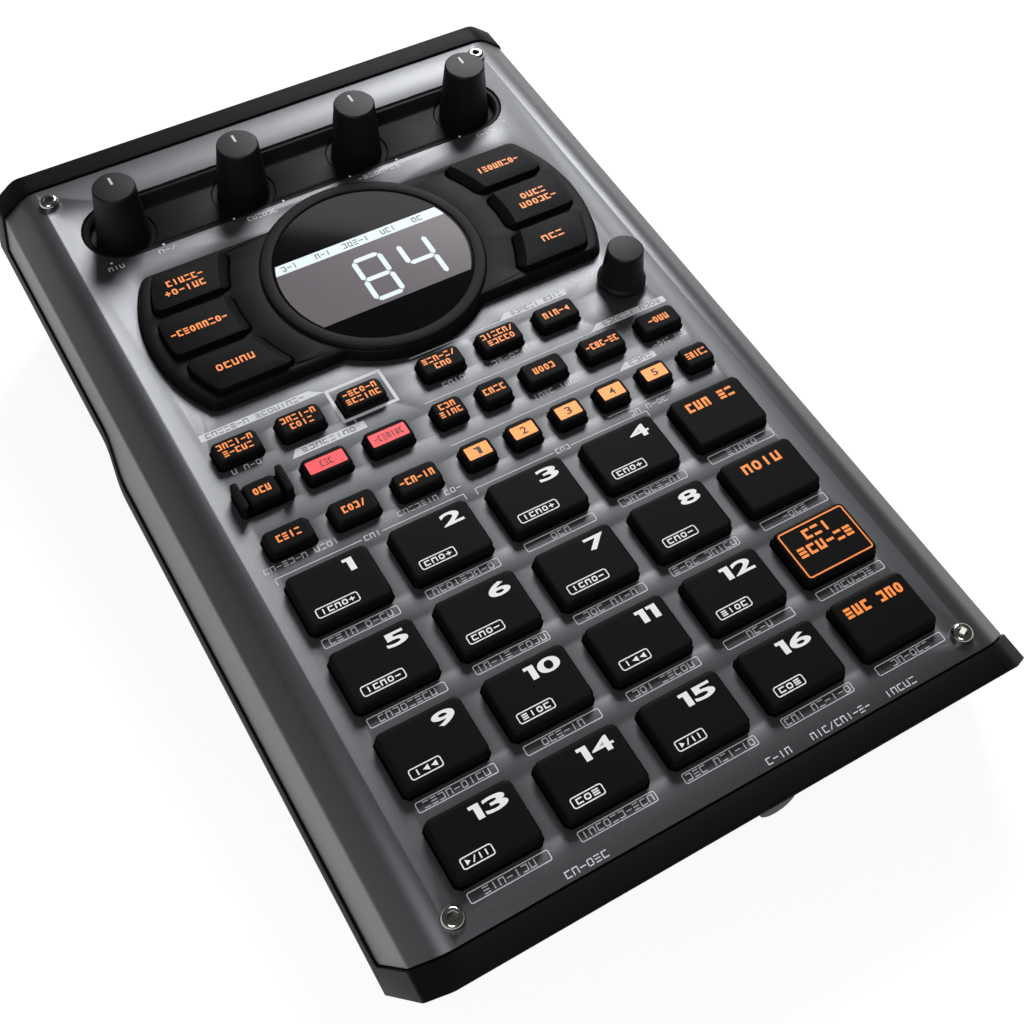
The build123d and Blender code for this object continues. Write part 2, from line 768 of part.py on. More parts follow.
board_middle = (board_front + board_rear) / 2
board_solids = [
    box(0, board_middle, 2 * board_half_width, board_rear - board_front, board_bottom, board_top)
]
for x in pot_positions:
    pot = box(x, pot_row, pot_body, pot_body, board_top, board_top + pot_depth)
    bore = Pos(x, pot_row) * Circle(shaft_radius + slide_fit)
    board_solids.append(pot - prism(bore, board_top, board_top + pot_depth))
housing = box(value_knob_x, value_knob_row, encoder_body, encoder_body, board_top, flange_top)
housing = housing - prism(spot * Circle(plunger_radius + slide_fit), board_top, flange_top)
board_solids.append(housing)
pieces["main_board"] = group([place(solid) for solid in board_solids])

# ---------------------------------------------------------------- panel screws
screw = turned(
    (0, 0),
    (screw_head_radius, 0),
    (screw_head_radius, screw_rim_height),
    (screw_crown_radius, screw_head_height),
    (0, screw_head_height),
)
socket = RegularPolygon(screw_socket_radius, 6)
screw = screw - prism(socket, screw_head_height / 2, screw_head_height)
screw = screw + Pos(0, 0, -screw_length) * extrude(Circle(screw_shank_radius), screw_length)
pieces["panel_screws"] = group([place(Pos(x, y) * screw) for x, y in screws])

# ---------------------------------------------------------------- front jack board
front_body_start = front_board_start + wall_clearance
front_axis_drop = (front_axis_height - panel_height) / math.cos(tilt)
front_face = front_at(front_axis_drop) + front_axis_height * math.sin(tilt)
nose_end = front_face + nose_setback


def jack(x, axis, start, direction, nose, nose_radius):
    """A 6.35 mm socket: its body lies behind start, and its nose runs out to nose."""
    low = min(start, start + direction * jack_length)
    height = jack_below_axis + jack_above_axis
    body = level_box(x, low, axis - jack_below_axis, jack_width, jack_length, height)
    body = body + level_rod(x, axis, nose_radius, min(start, nose), max(start, nose))
    back = nose + direction * jack_bore_depth
    return body - level_rod(x, axis, jack_bore_radius, min(nose, back), max(nose, back))


def mini_jack(x, axis, start, direction, nose):
    """A 3.5 mm socket."""
    low = min(start, start + direction * mini_length)
    height = jack_below_axis + mini_above_axis
    body = level_box(x, low, axis - jack_below_axis, mini_width, mini_length, height)
    body = body + level_rod(x, axis, mini_nose_radius, min(start, nose), max(start, nose))
    back = nose + direction * mini_bore_depth
    return body - level_rod(x, axis, mini_bore_radius, min(nose, back), max(nose, back))


front_solids = [
    level_box(
        0, front_body_start, front_board_bottom,
        2 * front_board_half_width, front_board_depth, board_thickness,
    )
]
for x in front_jacks:
    front_solids.append(jack(x, front_axis_height, front_body_start, 1, nose_end, jack_nose_radius))
front_solids.append(mini_jack(front_mini_x, front_axis_height, front_body_start, 1, nose_end))
card = level_box(card_slot_x, front_body_start, front_board_top, card_width, card_width, card_height)
card = card - level_box(
    card_slot_x, front_body_start, card_low,
    card_slot_width, card_width - bay_wall, card_slot_height,
)
front_solids.append(card)
gain_body = level_box(
    gain_knob_x, front_body_start, front_board_top,
    pot_body, pot_depth + pot_body / 2, jack_below_axis + pot_body / 2,
)
gain_bore_end = front_body_start + pot_body / 2
gain_body = gain_body - level_rod(
    gain_knob_x, front_axis_height, shaft_radius + slide_fit, front_body_start, gain_bore_end
)
front_solids.append(gain_body)
switch_body_start = front_body_start + lever_plate_thickness + wall_clearance
front_solids.append(
    level_box(
        switch_x, switch_body_start, front_board_top,
        pot_body, pot_body / 2, jack_below_axis + mini_above_axis,
    )
)
pieces["front_jack_board"] = group(front_solids)

gain_start = front_face - gain_knob_proud
gain_end = gain_start + gain_knob_length
gain_knob = level_rod(gain_knob_x, front_axis_height, gain_knob_radius, gain_start, gain_end)
gain_shaft_end = gain_bore_end - wall_clearance
gain_knob = gain_knob + level_rod(gain_knob_x, front_axis_height, shaft_radius, gain_end, gain_shaft_end)
pieces["gain_knob"] = gain_knob

lever_start = front_face - switch_proud
lever = level_box(
    switch_x - switch_travel, lever_start, front_axis_height - switch_lever_height / 2,
    switch_lever_width, front_body_start - lever_start, switch_lever_height,
)
lever = lever + level_box(
    switch_x - switch_travel, front_body_start, front_axis_height - mini_above_axis,
    mini_width - switch_lever_width, lever_plate_thickness, 2 * mini_above_axis - wall_clearance,
)
pieces["input_switch"] = lever

# ---------------------------------------------------------------- rear jack board
rear_body_end = inner_rear - wall_clearance
rear_solids = [
    level_box(
        0, rear_board_start, rear_board_bottom,
        2 * rear_board_half_width, rear_board_depth, board_thickness,
    )
]
nut_end = rear_face + nut_thickness
for x in rear_jacks:
    rear_solids.append(jack(x, rear_axis_height, rear_body_end, -1, nut_end, bushing_radius))
    nut = Plane.XZ * (RegularPolygon(nut_radius, 6) - Circle(bushing_radius))
    rear_solids.append(Pos(x, nut_end, rear_axis_height) * extrude(nut, nut_thickness))
for x in rear_minis:
    rear_solids.append(mini_jack(x, rear_axis_height, rear_body_end, -1, rear_face - wall_clearance))
usb_corner = usb_height / 2 - slide_fit
usb_mouth_width = usb_width - 2 * usb_wall
usb_mouth_height = usb_height - 2 * usb_wall
usb_mouth = RectangleRounded(usb_mouth_width, usb_mouth_height, usb_corner - usb_wall)
usb = Plane.XZ * (RectangleRounded(usb_width, usb_height, usb_corner) - usb_mouth)
usb_shell = Pos(usb_x, rear_face - wall_clearance, usb_axis) * extrude(usb, usb_length)
usb_tongue = level_box(
    usb_x, rear_face - wall_clearance - usb_length, usb_axis - usb_height / 2 + usb_wall,
    usb_mouth_width - usb_height, usb_length - usb_tongue_setback, usb_wall,
)
usb_under = usb_axis - usb_height / 2
usb_foot = level_box(
    usb_x, rear_face - wall_clearance - usb_length, rear_board_top,
    usb_width - usb_height, usb_length - 2 * rear_wall, usb_under - rear_board_top + usb_wall / 2,
)
rear_solids.append(usb_shell + usb_tongue + usb_foot)
dc_nose = rear_face - wall_clearance
dc = level_box(
    dc_x, rear_body_end - dc_length, rear_board_top, dc_width, dc_length, jack_below_axis + dc_nose_radius
)
dc = dc + level_rod(dc_x, rear_axis_height, dc_nose_radius, rear_body_end, dc_nose)
dc = dc - level_rod(dc_x, rear_axis_height, dc_bore_radius, dc_nose - dc_bore_depth, dc_nose)
dc = dc + level_rod(dc_x, rear_axis_height, dc_pin_radius, dc_nose - dc_bore_depth, dc_nose - nose_setback)
rear_solids.append(dc)
power_body_end = rear_body_end - lever_plate_thickness - wall_clearance
rear_solids.append(
    level_box(
        power_middle, power_body_end - pot_body, rear_board_top,
        pot_body, pot_body, jack_below_axis + mini_above_axis,
    )
)
pieces["rear_jack_board"] = group(rear_solids)

power_end = rear_face + power_proud
power_lever = level_box(
    power_x, rear_body_end, rear_axis_height - power_lever_height / 2,
    power_lever_width, power_end - rear_body_end, power_lever_height,
)
power_lever = power_lever + level_box(
    power_x, rear_body_end - lever_plate_thickness, rear_axis_height - mini_above_axis,
    mini_width, lever_plate_thickness, 2 * mini_above_axis - wall_clearance,
)
pieces["power_switch"] = power_lever

# ---------------------------------------------------------------- battery cover, contacts and feet
cover = level_box(0, cover_front, foot_height, 2 * cover_half_width, cover_depth, cover_thickness - slide_fit)
for x in hook_positions:
    cover = cover + level_box(
        x, cover_front, foot_height, cover_hook_width, cover_ledge, cover_thickness + cover_gap / 2
    )
    cover = cover + level_box(
        x, cover_front - cover_hook, bay_bottom + cover_gap / 2,
        cover_hook_width, cover_ledge + cover_hook, cover_thickness - cover_gap,
    )
pieces["battery_cover"] = cover

contacts = []
for side in (-1, 1):
    for row in (-1, 0, 1):
        y = bay_front + bay_depth / 2 + row * cell_pitch
        x = side * (bay_half_width - contact_thickness / 2)
        leaf = Pos(x, y, bay_bottom + bay_height / 2) * Box(contact_thickness, contact_width, contact_height)
        tip = Rot(0, 90, 0) * Cylinder(shaft_radius, contact_thickness)
        contacts.append(leaf + Pos(x - side * contact_thickness, y, bay_bottom + bay_height / 2) * tip)
pieces["battery_contacts"] = group(contacts)

feet = []
for x in (-foot_x, foot_x):
    for y in (foot_front, foot_rear):
        feet.append(Pos(x, y) * extrude(Circle(foot_radius), foot_height))
pieces["rubber_feet"] = group(feet)

# ---------------------------------------------------------------- centre over the table and write
low = min(piece.bounding_box().min.Y for piece in pieces.values())
high = max(piece.bounding_box().max.Y for piece in pieces.values())
centred = Pos(0, -(low + high) / 2, 0)
os.makedirs("parts", exist_ok=True)
for name, piece in pieces.items():
    export_step(centred * piece, f"parts/{name}.step")
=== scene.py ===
import bmesh
import bpy
import json
import math
from mathutils import Matrix, Vector


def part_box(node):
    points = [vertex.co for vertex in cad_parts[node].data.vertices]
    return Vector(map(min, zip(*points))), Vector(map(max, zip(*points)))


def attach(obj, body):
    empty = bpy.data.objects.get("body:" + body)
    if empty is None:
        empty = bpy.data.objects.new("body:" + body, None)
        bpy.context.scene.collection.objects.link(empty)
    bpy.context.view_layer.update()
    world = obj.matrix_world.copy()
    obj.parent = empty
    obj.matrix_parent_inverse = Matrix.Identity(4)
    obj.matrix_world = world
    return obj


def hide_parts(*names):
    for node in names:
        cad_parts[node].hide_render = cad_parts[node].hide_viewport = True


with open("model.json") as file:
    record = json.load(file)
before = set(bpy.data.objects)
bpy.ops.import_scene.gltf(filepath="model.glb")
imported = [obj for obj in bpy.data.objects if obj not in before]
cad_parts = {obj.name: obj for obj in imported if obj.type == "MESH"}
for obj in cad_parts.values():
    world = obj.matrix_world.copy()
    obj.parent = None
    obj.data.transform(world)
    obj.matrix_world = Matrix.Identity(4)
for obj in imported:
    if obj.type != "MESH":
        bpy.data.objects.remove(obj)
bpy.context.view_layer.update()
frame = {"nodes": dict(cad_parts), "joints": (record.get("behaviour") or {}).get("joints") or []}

# ------------------------------------------------------------------ camera
# The view is set first. The eye stands over the front left corner and looks down across the panel.
camera_data = bpy.data.cameras.new("view_camera")
camera_data.sensor_width = 36.0
camera_data.lens = 55.667
camera_data.shift_x = -0.0246
camera_data.shift_y = -0.1
camera_data.clip_start = 0.01
camera_data.clip_end = 50.0
camera = bpy.data.objects.new("view_camera", camera_data)
bpy.context.scene.collection.objects.link(camera)
bpy.context.scene.camera = camera
camera.location = (-0.13434, -0.25328, 0.37108)
camera.rotation_euler = [math.radians(turn) for turn in (40.983, -0.904, -30.896)]

# ------------------------------------------------------------------ black case
# Two injection-moulded shells of black plastic: the upper one with its bands and side strips, and the
# tub under it with the battery cover. Fine spark-eroded grain, satin, edges broken by a small radius.


class Value:
    """A socket of a material, so that a pattern is written as arithmetic."""

    def __init__(self, tree, socket):
        self.tree = tree
        self.socket = socket

    def maths(self, operation, other, swapped=False):
        step = self.tree.nodes.new("ShaderNodeMath")
        step.operation = operation
        terms = (other, self) if swapped else (self, other)
        for place, term in zip(step.inputs, terms):
            if isinstance(term, Value):
                self.tree.links.new(term.socket, place)
            else:
                place.default_value = term
        return Value(self.tree, step.outputs[0])

    def __add__(self, other):
        return self.maths("ADD", other)

    def __sub__(self, other):
        return self.maths("SUBTRACT", other)

    def __rsub__(self, other):
        return self.maths("SUBTRACT", other, swapped=True)

    def __mul__(self, other):
        return self.maths("MULTIPLY", other)

    def __gt__(self, other):
        return self.maths("GREATER_THAN", other)

    def __lt__(self, other):
        return self.maths("LESS_THAN", other)

    __radd__ = __add__
    __rmul__ = __mul__


class Finish:
    """A material built round one Principled shader."""

    def __init__(self, name, **sockets):
        self.material = bpy.data.materials.new(name)
        self.material.use_nodes = True
        self.tree = self.material.node_tree
        self.shader = self.tree.nodes["Principled BSDF"]
        self.set(**sockets)

    def set(self, **sockets):
        for name, value in sockets.items():
            socket = self.shader.inputs[name.replace("_", " ")]
            if isinstance(value, Value):
                self.tree.links.new(value.socket, socket)
            else:
                socket.default_value = (*value, 1.0) if isinstance(value, tuple) else value

    def node(self, kind, settings=None, sockets=None, output=0):
        made = self.tree.nodes.new(kind)
        for name, value in (settings or {}).items():
            setattr(made, name, value)
        for name, value in (sockets or {}).items():
            if isinstance(value, Value):
                self.tree.links.new(value.socket, made.inputs[name])
            else:
                made.inputs[name].default_value = value
        return Value(self.tree, made.outputs[output])

    def here(self, axis):
        """One coordinate of the surface point, in metres."""
        point = self.node("ShaderNodeTexCoord", output="Object")
        return self.node("ShaderNodeSeparateXYZ", sockets={0: point}, output=axis)

    def noise(self, scale, detail=2.0, roughness=0.5):
        point = self.node("ShaderNodeTexCoord", output="Object")
        return self.node(
            "ShaderNodeTexNoise",
            sockets={"Vector": point, "Scale": scale, "Detail": detail, "Roughness": roughness},
        )

    def blend(self, amount, low, high):
        """A colour between two others."""
        mixed = self.node("ShaderNodeMix", {"data_type": "RGBA"}, {"Factor": amount}, output="Result")
        mixer = mixed.socket.node
        for place, colour in zip([s for s in mixer.inputs if s.type == "RGBA"], (low, high)):
            if isinstance(colour, Value):
                self.tree.links.new(colour.socket, place)
            else:
                place.default_value = (*colour, 1.0)
        return Value(self.tree, [s for s in mixer.outputs if s.type == "RGBA"][0])

    def relief(self, height, depth, strength=1.0):
        """Fine relief of the surface, depth metres deep."""
        bump = self.node(
            "ShaderNodeBump", sockets={"Height": height, "Distance": depth, "Strength": strength},
        )
        self.set(Normal=bump)


def coat(node, finish, edge=0.0, sharp=40.0, segments=3):
    """Gives a CAD node its finish, with its sharp edges broken by a small radius."""
    piece = frame["nodes"][node]
    piece.data.materials.clear()
    piece.data.materials.append(finish.material)
    for face in piece.data.polygons:
        face.use_smooth = True
    weld = piece.modifiers.new("weld", "WELD")
    weld.merge_threshold = 0.000004
    if edge:
        bevel = piece.modifiers.new("edge", "BEVEL")
        bevel.width = edge
        bevel.segments = segments
        bevel.limit_method = "ANGLE"
        bevel.angle_limit = math.radians(sharp)
    split = piece.modifiers.new("creases", "EDGE_SPLIT")
    split.split_angle = math.radians(35.0)
    return piece


case_plastic = Finish("case_plastic", Base_Color=(0.0045, 0.0045, 0.005), Specular_IOR_Level=0.05)
case_grain = case_plastic.noise(3200.0, 3.0, 0.6)
case_plastic.set(Roughness=0.42 + 0.14 * case_plastic.noise(900.0, 2.0))
case_plastic.relief(case_grain, 0.00002, 0.5)
coat("upper_case", case_plastic, 0.0004)
coat("bottom_case", case_plastic, 0.0003)
coat("battery_cover", case_plastic, 0.0003)

# ------------------------------------------------------------------ faceplate
# One sheet of steel bent over both sides of the case. Its paint is metallic grey with fine bright
# flecks under a thin satin lacquer.
plate_paint = Finish("plate_paint", Metallic=0.85, Coat_Weight=0.06, Coat_Roughness=0.35)
flecks = plate_paint.noise(5200.0, 2.0, 0.7)
fleck_mask = (flecks > 0.66) * 0.22 + flecks * 0.20
plate_paint.set(Base_Color=plate_paint.blend(fleck_mask, (0.082, 0.084, 0.091), (0.36, 0.365, 0.38)))
plate_paint.set(Roughness=0.40 + 0.08 * plate_paint.noise(2200.0, 2.0))
plate_paint.relief(flecks, 0.000012, 0.4)
coat("faceplate", plate_paint, 0.00025, segments=2)

# ------------------------------------------------------------------ printing on the faceplate
# Pale silk-screened ink: a boxed caption over each pad, tabs and rules that group the keys, and the
# dots at the ends of each knob's turn. The captions are plain marks.
millimetre = 0.001
knob_turn = next(j for j in frame["joints"] if j["name"] == "control_knob_1_turn")
knob_row = 241.79
tilt = math.atan2(-knob_turn["axis"][1], knob_turn["axis"][2])
panel_front = knob_turn["pos_m"][1] - knob_row * millimetre * math.cos(tilt)
panel_height = knob_turn["pos_m"][2] - knob_row * millimetre * math.sin(tilt)
panel = (
    Matrix.Translation((0, panel_front, panel_height))
    @ Matrix.Rotation(tilt, 4, "X")
    @ Matrix.Scale(millimetre, 4)
)


def rounded_outline(x, y, width, depth, corner, steps=5):
    """A rectangle with rounded corners, anticlockwise."""
    points = []
    corner = min(corner, width / 2 - 0.01, depth / 2 - 0.01)
    for quarter, (side, end) in enumerate([(1, 1), (-1, 1), (-1, -1), (1, -1)]):
        for step in range(steps + 1):
            angle = math.pi / 2 * (quarter + step / steps)
            points.append((
                x + side * (width / 2 - corner) + corner * math.cos(angle),
                y + end * (depth / 2 - corner) + corner * math.sin(angle),
            ))
    return points


def round_outline(x, y, radius, steps=20):
    return [
        (x + radius * math.cos(2 * math.pi * i / steps), y + radius * math.sin(2 * math.pi * i / steps))
        for i in range(steps)
    ]


class Ink:
    """Flat marks gathered into one thin mesh, in millimetres on the panel."""

    thickness = 0.06

    def __init__(self, level):
        self.mesh = bmesh.new()
        self.level = level

    def shape(self, outline, hole=None, slot=0):
        """A filled outline, or the band between an outline and a hole of as many points."""
        low, high = self.level - self.thickness, self.level + self.thickness / 2
        rings = []
        for points in [outline] + ([hole] if hole else []):
            rings.append([[self.mesh.verts.new((x, y, z)) for x, y in points] for z in (low, high)])
        faces = []
        outer_low, outer_high = rings[0]
        count = len(outline)
        for i in range(count):
            j = (i + 1) % count
            faces.append((outer_low[i], outer_low[j], outer_high[j], outer_high[i]))
            if hole:
                inner_low, inner_high = rings[1]
                faces.append((inner_low[j], inner_low[i], inner_high[i], inner_high[j]))
                faces.append((outer_high[i], outer_high[j], inner_high[j], inner_high[i]))
                faces.append((outer_low[j], outer_low[i], inner_low[i], inner_low[j]))
        if not hole:
            faces.append(outer_high)
            faces.append(outer_low[::-1])
        for corners in faces:
            self.mesh.faces.new(corners).material_index = slot

    def bar(self, x, y, width, height, slot=0):
        self.shape([
            (x - width / 2, y - height / 2), (x + width / 2, y - height / 2),
            (x + width / 2, y + height / 2), (x - width / 2, y + height / 2),
        ], slot=slot)

    def frame(self, x, y, width, height, line, corner, slot=0):
        outer = rounded_outline(x, y, width, height, corner)
        inner = rounded_outline(x, y, width - 2 * line, height - 2 * line, max(corner - line, 0.05))
        self.shape(outer, inner, slot)

    def mark(self, kind, x, y, width, height, line, slot=0):
        """One plain sign in a cell of that size."""
        half = width / 2
        rise = height / 2
        if kind == "o":
            self.frame(x, y, width, height, line, line * 1.4, slot)
        elif kind == "-":
            self.bar(x, y, width, line, slot)
        elif kind == "=":
            self.bar(x, y + rise - line / 2, width, line, slot)
            self.bar(x, y - rise + line / 2, width, line, slot)
        elif kind == "z":
            for step in (-1, 0, 1):
                self.bar(x, y + step * (rise - line / 2), width, line, slot)
        elif kind == "|":
            self.bar(x, y, line, height, slot)
        elif kind == "+":
            arm = (width - line) / 2
            self.bar(x, y, line, height * 0.8, slot)
            self.bar(x - line / 2 - arm / 2, y, arm, line, slot)
            self.bar(x + line / 2 + arm / 2, y, arm, line, slot)
        elif kind == ">":
            self.shape([(x - half, y - rise), (x + half, y), (x - half, y + rise)], slot=slot)
        elif kind == "<":
            self.shape([(x + half, y + rise), (x - half, y), (x + half, y - rise)], slot=slot)
        elif kind == "/":
            self.shape([
                (x - half, y - rise), (x - half + line, y - rise),
                (x + half, y + rise), (x + half - line, y + rise),
            ], slot=slot)
        elif kind in "nu":
            side = 1 if kind == "n" else -1
            self.bar(x - half + line / 2, y, line, height, slot)
            self.bar(x + half - line / 2, y, line, height, slot)
            self.bar(x, y + side * (rise - line / 2), width - 2 * line, line, slot)
        elif kind in "[]":
            side = -1 if kind == "[" else 1
            self.bar(x + side * (half - line / 2), y, line, height, slot)
            for step in (-1, 1):
                self.bar(x - side * line / 2, y + step * (rise - line / 2), width - line, line, slot)

    def legend(self, signs, x, y, height, width, line=0.24, slot=0):
        """A row of plain signs that fills a width, with strokes line times as thick as it is high."""
        cell = width / len(signs)
        for place, kind in enumerate(signs):
            middle = x + (place - (len(signs) - 1) / 2) * cell
            self.mark(kind, middle, y, cell * 0.76, height, line * height, slot)

    def digit(self, text, right, middle, width, height, weight=0.02, slot=0):
        """One plain figure stretched to a width and height, its right edge at right."""
        if text == "1":
            left, low, high = right - width, middle - height / 2, middle + height / 2
            stem = right - width * 0.62
            self.shape([
                (stem, low), (right, low), (right, high), (left, high), (left, high - 0.22 * height),
                (stem, high - 0.22 * height),
            ], slot=slot)
            return
        curve = bpy.data.curves.new("figure", "FONT")
        curve.body = "6" if text == "9" else text
        curve.size = 1.0
        curve.offset = weight / 2 if text == "4" else weight
        curve.extrude = self.thickness / 2
        lettering = bpy.data.objects.new("figure", curve)
        bpy.context.scene.collection.objects.link(lettering)
        bpy.context.view_layer.update()
        solid = bpy.data.meshes.new_from_object(
            lettering.evaluated_get(bpy.context.evaluated_depsgraph_get())
        )
        bpy.data.objects.remove(lettering)
        points = [vertex.co for vertex in solid.vertices]
        low = Vector((min(p.x for p in points), min(p.y for p in points)))
        high = Vector((max(p.x for p in points), max(p.y for p in points)))
        side = -1 if text == "9" else 1
        made = [
            self.mesh.verts.new((
                right - width / 2 + side * (p.x - (low.x + high.x) / 2) * width / (high.x - low.x),
                middle + side * (p.y - (low.y + high.y) / 2) * height / (high.y - low.y),
                self.level + p.z,
            ))
            for p in points
        ]
        for face in solid.polygons:
            self.mesh.faces.new([made[i] for i in face.vertices]).material_index = slot
        bmesh.ops.remove_doubles(self.mesh, verts=made, dist=0.0001)
        bpy.data.meshes.remove(solid)

    def piece(self, name, body, slot, finishes):
        """Puts the marks on the panel as one piece of that body. The slot is not used."""
        mesh = bpy.data.meshes.new(name)
        bmesh.ops.recalc_face_normals(self.mesh, faces=self.mesh.faces[:])
        self.mesh.to_mesh(mesh)
        self.mesh.free()
        mesh.transform(panel)
        for finish in finishes:
            mesh.materials.append(finish.material)
        made = bpy.data.objects.new(name, mesh)
        bpy.context.scene.collection.objects.link(made)
        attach(made, body)
        return made


def repeated(name, body, finish, base, columns, rows, column_pitch, row_pitch, centre):
    """Copies of a small mesh at the crossings of a grid, made by one node tree."""
    tree = bpy.data.node_groups.new(name + "_grid", "GeometryNodeTree")
    values = {
        "Copy": ("NodeSocketGeometry", None),
        "Columns": ("NodeSocketInt", columns), "Rows": ("NodeSocketInt", rows),
        "Column Pitch": ("NodeSocketFloat", column_pitch), "Row Pitch": ("NodeSocketFloat", row_pitch),
        "Finish": ("NodeSocketMaterial", finish.material),
    }
    entries = {
        label: tree.interface.new_socket(label, in_out="INPUT", socket_type=kind)
        for label, (kind, _) in values.items()
    }
    tree.interface.new_socket("Copies", in_out="OUTPUT", socket_type="NodeSocketGeometry")
    given = tree.nodes.new("NodeGroupInput")
    grid = tree.nodes.new("GeometryNodeMeshGrid")
    for count, pitch, size, vertices in [
        ("Columns", "Column Pitch", "Size X", "Vertices X"), ("Rows", "Row Pitch", "Size Y", "Vertices Y"),
    ]:
        gaps = tree.nodes.new("ShaderNodeMath")
        gaps.operation = "SUBTRACT"
        gaps.inputs[1].default_value = 1.0
        span = tree.nodes.new("ShaderNodeMath")
        span.operation = "MULTIPLY"
        tree.links.new(given.outputs[count], gaps.inputs[0])
        tree.links.new(gaps.outputs[0], span.inputs[0])
        tree.links.new(given.outputs[pitch], span.inputs[1])
        tree.links.new(span.outputs[0], grid.inputs[size])
        tree.links.new(given.outputs[count], grid.inputs[vertices])
    placed = tree.nodes.new("GeometryNodeInstanceOnPoints")
    whole = tree.nodes.new("GeometryNodeRealizeInstances")
    coated = tree.nodes.new("GeometryNodeSetMaterial")
    result = tree.nodes.new("NodeGroupOutput")
    tree.links.new(grid.outputs["Mesh"], placed.inputs["Points"])
    tree.links.new(given.outputs["Copy"], placed.inputs["Instance"])
    tree.links.new(placed.outputs[0], whole.inputs[0])
    tree.links.new(whole.outputs[0], coated.inputs["Geometry"])
    tree.links.new(given.outputs["Finish"], coated.inputs["Material"])
    tree.links.new(coated.outputs[0], result.inputs[0])
    small = bpy.data.meshes.new(name + "_base")
    bmesh.ops.recalc_face_normals(base, faces=base.faces[:])
    base.to_mesh(small)
    base.free()
    made = bpy.data.objects.new(name, small)
    bpy.context.scene.collection.objects.link(made)
    copies = made.modifiers.new("copies", "NODES")
    copies.node_group = tree
    for label, (_, value) in values.items():
        if value is not None:
            copies[entries[label].identifier] = value
    seen = made.evaluated_get(bpy.context.evaluated_depsgraph_get())
    mesh = bpy.data.meshes.new_from_object(seen)
    made.modifiers.clear()
    made.data = mesh
    bpy.data.meshes.remove(small)
    mesh.transform(panel @ Matrix.Translation(centre))
    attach(made, body)
    return made


pale_ink = Finish("pale_ink", Base_Color=(0.66, 0.67, 0.70), Roughness=0.55)
pale_ink.set(Roughness=0.50 + 0.15 * pale_ink.noise(2500.0))
dark_ink = Finish("dark_ink", Base_Color=(0.10, 0.10, 0.11), Roughness=0.55)
dark_ink.set(Roughness=0.50 + 0.15 * dark_ink.noise(2500.0))

pad_pitch = 28.63
pad_row_pitch = 24.13
pad_front_row = 27.5
pad_columns = [column * pad_pitch for column in (-2, -1, 0, 1, 2)]
pad_rows = [pad_front_row + row * pad_row_pitch for row in (3, 2, 1, 0)]
caption_drop = 11.15
caption_middle = (pad_rows[0] + pad_rows[-1]) / 2 - caption_drop
caption_box = Ink(0.0)
caption_box.frame(0, 0, 21.0, 2.8, 0.24, 0.6)
repeated(
    "caption_boxes", "case", pale_ink, caption_box.mesh,
    len(pad_columns), len(pad_rows), pad_pitch, pad_row_pitch, (0.45, caption_middle, 0),
)
pot_pitch = 38.2
turn_end_row = 230.2
turn_ends = Ink(0.0)
turn_end_reach, turn_end_radius = 8.0, 0.36
for side in (-1, 1):
    turn_ends.shape(round_outline(side * turn_end_reach, 0, turn_end_radius, 10))
repeated(
    "turn_end_dots", "case", pale_ink, turn_ends.mesh,
    4, 1, pot_pitch, 1.0, (0, turn_end_row, 0),
)

print_ink = Ink(0.0)
caption_signs = [
    "[z|n o-[u", "n[o|z]n-o", "o[n", "]n-o[z=n|", "z|n[o",
    "[n]o=z[u", "|n-|z [o]u", "]o[ n|-n", "z-o[ ]n|[u", "-o[z",
    "=z]n-o|[u", "o[z-|n", "]o| =z[ou", "n[-u", "|n[u=]z",
    "z|n-|]u", "|n[o=]-z[n", "]z[ n=|-|o", "[n| n=-|-o", "]n-o[=",
]
for index, signs in enumerate(caption_signs):
    x = pad_columns[index % 5] + 0.45
    y = pad_rows[index // 5] - caption_drop
    print_ink.legend(signs, x, y, 1.75, 1.98 * len(signs), 0.15)


def tab(left, right, bottom, height=2.05, lean=2.7):
    """A filled tab with one leaning end that carries a group's caption."""
    print_ink.shape([
        (left, bottom), (right, bottom), (right, bottom + height), (left + lean, bottom + height),
    ])


rule = 0.22
print_ink.shape([(-68.5, 158.8), (-32.6, 158.8), (-36.4, 161.2), (-68.5, 161.2)])
print_ink.frame(-24.2, 152.8, 17.0, 12.4, 0.95, 0.2)
print_ink.bar(-29.6, 144.9, rule, 3.4)
print_ink.shape([(-49.6, 142.5), (-27.6, 142.5), (-27.6, 145.1), (-47.9, 145.1)])
tab(22.4, 44.7, 158.2)
print_ink.bar(19.0, 158.1, 51.4, rule)
tab(43.4, 68.8, 142.3)
print_ink.bar(29.0, 142.2, 79.6, rule)
tab(42.7, 55.0, 126.4)
print_ink.bar(22.0, 126.3, 66.0, rule)
print_ink.bar(42.9, 114.3, 23.7, rule)
for left, gap_left, gap_right, right in [(-69.5, -45.3, -39.4, -15.7), (-12.3, 12.0, 17.3, 41.6)]:
    for start, end, bend in [(left, gap_left, 1), (gap_right, right, -1)]:
        print_ink.bar((start + end) / 2, 111.2, end - start, rule)
        print_ink.bar(start if bend > 0 else end, 110.2, rule, 2.0)
